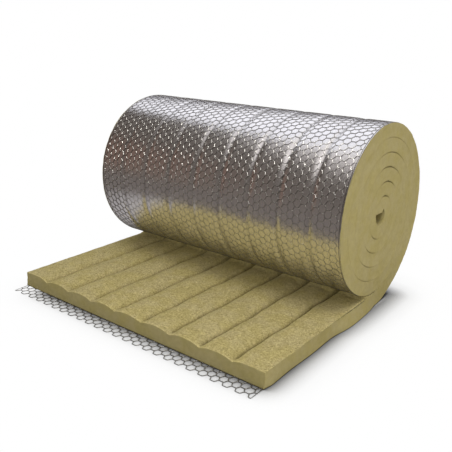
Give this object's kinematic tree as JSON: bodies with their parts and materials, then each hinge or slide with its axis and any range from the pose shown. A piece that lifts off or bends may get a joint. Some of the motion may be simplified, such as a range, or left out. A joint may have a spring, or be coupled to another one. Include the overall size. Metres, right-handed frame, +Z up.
{
  "type": "insulation roll",
  "caption": "Quilted mineral wool mat with foil facing and hexagonal wire netting, wound into a roll with its free end laid out flat in front.",
  "frame": {"origin": "centre of the bounding box, on the floor", "axes": "+X along the roll towards the end seen in the picture, +Y from the laid-out end towards the back of the roll, +Z up"},
  "size_m": [1, 0.985, 0.6005],
  "materials": {
    "mineral_wool": "fibrous",
    "foil": "bright rolled",
    "galvanised_wire": "galvanised"
  },
  "bodies": {
    "root": {"wool_mat": "mineral_wool", "aluminium_foil": "foil", "wire_netting": "galvanised_wire"}
  },
  "joints": []
}
